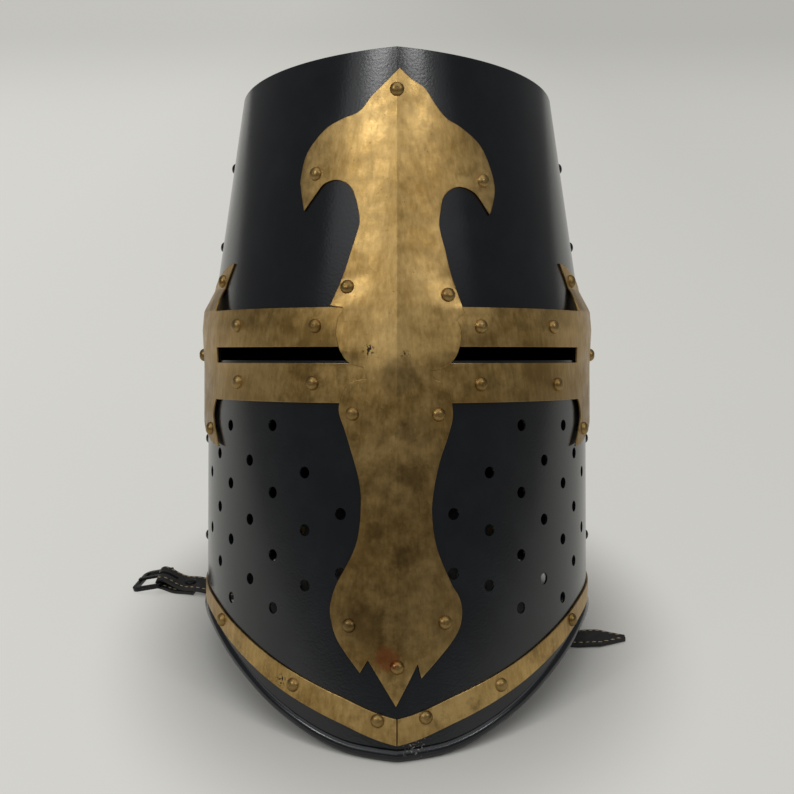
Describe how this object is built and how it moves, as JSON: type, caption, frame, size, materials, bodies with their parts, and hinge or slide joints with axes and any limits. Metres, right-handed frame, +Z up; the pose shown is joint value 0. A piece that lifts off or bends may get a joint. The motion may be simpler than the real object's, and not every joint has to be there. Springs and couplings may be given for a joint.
{
  "type": "great helm",
  "caption": "Riveted black steel great helm with a flat crown, a brass cross over the eye slits, breath holes, a brass rim band, a leather lining and a buckled leather chin strap.",
  "frame": {"origin": "on the table, in the shell's mirror plane, midway between the two places where the rim rests: its front tip and its back", "axes": "+Z up from the table; +X to the left of the wearer, across the shell; +Y from the face to the back of the head. The shell leans back by 16.6 degrees, as it stands in the picture"},
  "size_m": [0.2942, 0.3295, 0.3345],
  "materials": {
    "black_steel": "satin",
    "black_rivet": "satin",
    "aged_brass": "aged, mottled",
    "brass_rivet": "polished by handling",
    "black_leather": "satin",
    "lining_leather": "matte",
    "dark_buckle_metal": "satin"
  },
  "bodies": {
    "helm": {"skull_front_plate": "black_steel", "skull_back_plate": "black_steel", "crown_plate": "black_steel", "face_plate": "black_steel", "nape_plate": "black_steel", "rim_rod_left": "black_steel", "rim_rod_right": "black_steel", "cross_plate": "aged_brass", "eye_bar_left": "aged_brass", "eye_bar_right": "aged_brass", "rim_band_left": "aged_brass", "rim_band_right": "aged_brass", "cross_rivets": "brass_rivet", "eye_bar_rivets": "brass_rivet", "flare_rivets": "brass_rivet", "rim_band_rivets": "brass_rivet", "upper_seam_rivets": "black_rivet", "lower_seam_rivets": "black_rivet", "back_lap_rivets": "black_rivet", "head_band_rivets": "black_rivet", "chin_strap_rivets": "black_rivet", "head_band": "lining_leather", "head_strap_long": "lining_leather", "head_strap_cross": "lining_leather", "chin_strap_left": "black_leather", "chin_strap_right": "black_leather", "strap_stud": "dark_buckle_metal"},
    "buckle_frame": {"buckle_frame": "dark_buckle_metal"},
    "buckle_prong": {"buckle_prong": "dark_buckle_metal"}
  },
  "joints": [
    {"name": "buckle_frame_swing", "type": "hinge", "parent": "helm", "child": "buckle_frame", "pos_m": [-0.1448, 0.05847, 0.006], "axis": [0.2079, 0.9781, 0], "range_deg": [0, 165]},
    {"name": "buckle_prong_swing", "type": "hinge", "parent": "buckle_frame", "child": "buckle_prong", "pos_m": [-0.1448, 0.05847, 0.006], "axis": [0.2079, 0.9781, 0], "range_deg": [0, 150]}
  ]
}
